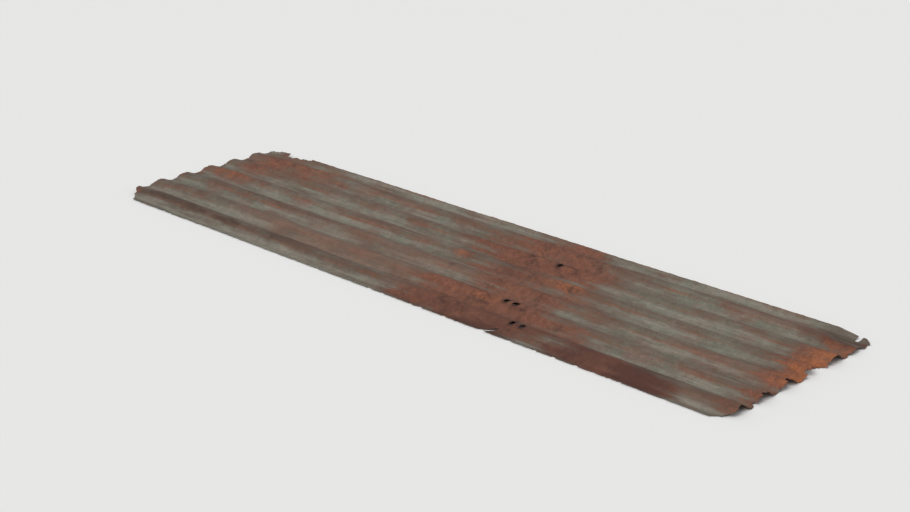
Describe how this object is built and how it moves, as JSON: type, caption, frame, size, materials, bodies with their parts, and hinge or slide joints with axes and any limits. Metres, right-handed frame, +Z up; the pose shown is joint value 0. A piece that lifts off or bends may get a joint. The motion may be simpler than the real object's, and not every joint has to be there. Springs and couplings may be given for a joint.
{
  "type": "corrugated metal sheet",
  "caption": "Weathered, rust-stained galvanised roofing sheet with round corrugations along its length, nail holes in the crests and worn edges.",
  "frame": {"origin": "on the floor, under the middle of the sheet", "axes": "+X along the waves towards the rusted end, +Y across the waves towards the raised edge, +Z up"},
  "size_m": [1.8, 0.4877, 0.018],
  "materials": {
    "weathered_galvanised_steel": "dull galvanised zinc, stained and eaten by rust"
  },
  "bodies": {
    "root": {"corrugated_sheet": "weathered_galvanised_steel"}
  },
  "joints": []
}
